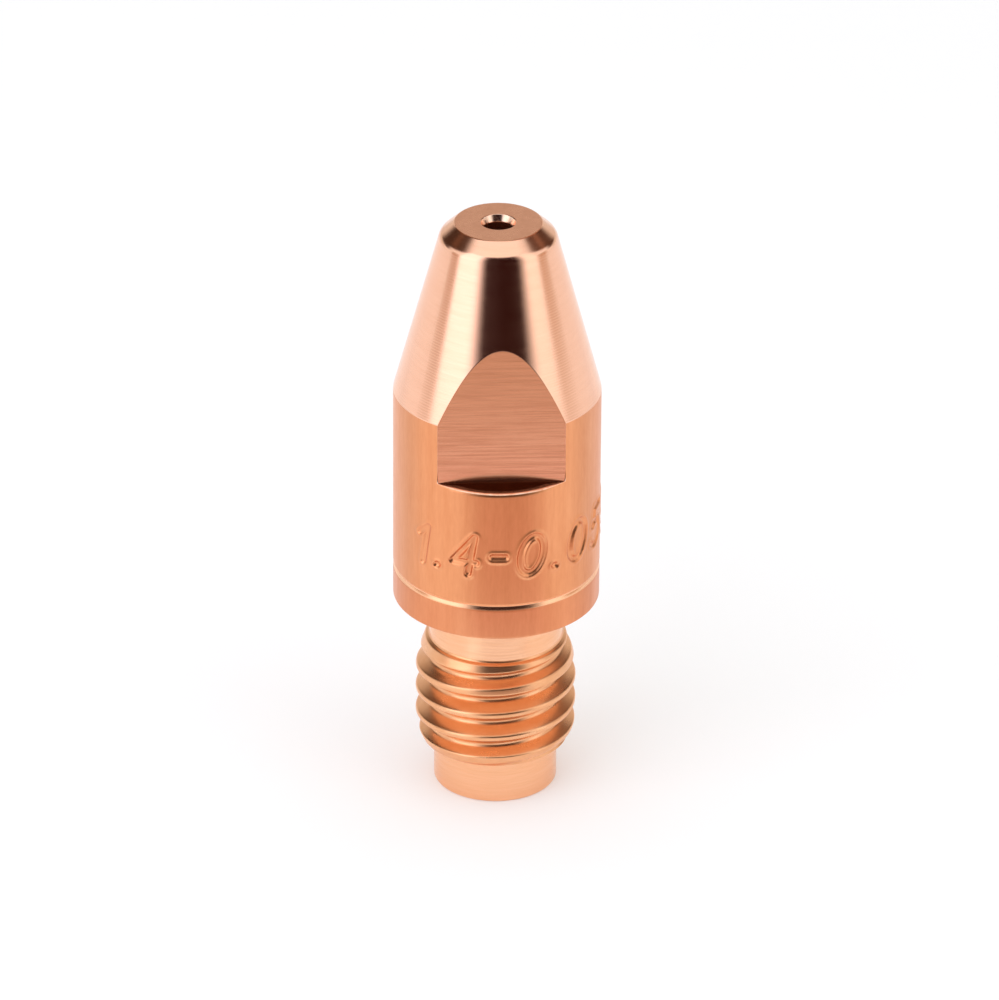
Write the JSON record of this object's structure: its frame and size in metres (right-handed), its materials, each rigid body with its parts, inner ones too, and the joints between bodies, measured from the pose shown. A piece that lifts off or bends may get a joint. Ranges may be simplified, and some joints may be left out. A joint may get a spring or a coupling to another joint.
{
  "type": "welding contact tip",
  "caption": "Turned copper contact tip with a tapered nose, wrench flats, a ring groove, a threaded shank with a pilot and a wire bore along its axis.",
  "frame": {"origin": "centre of the pilot's end face, on which the tip stands", "axes": "+Z along the wire bore towards the nose, Y across the wrench flats"},
  "size_m": [0.01, 0.01, 0.03],
  "materials": {
    "copper": "bare turned copper, satin on the drawn bar and bright on the cut faces"
  },
  "bodies": {
    "root": {"contact_tip": "copper"}
  },
  "joints": []
}
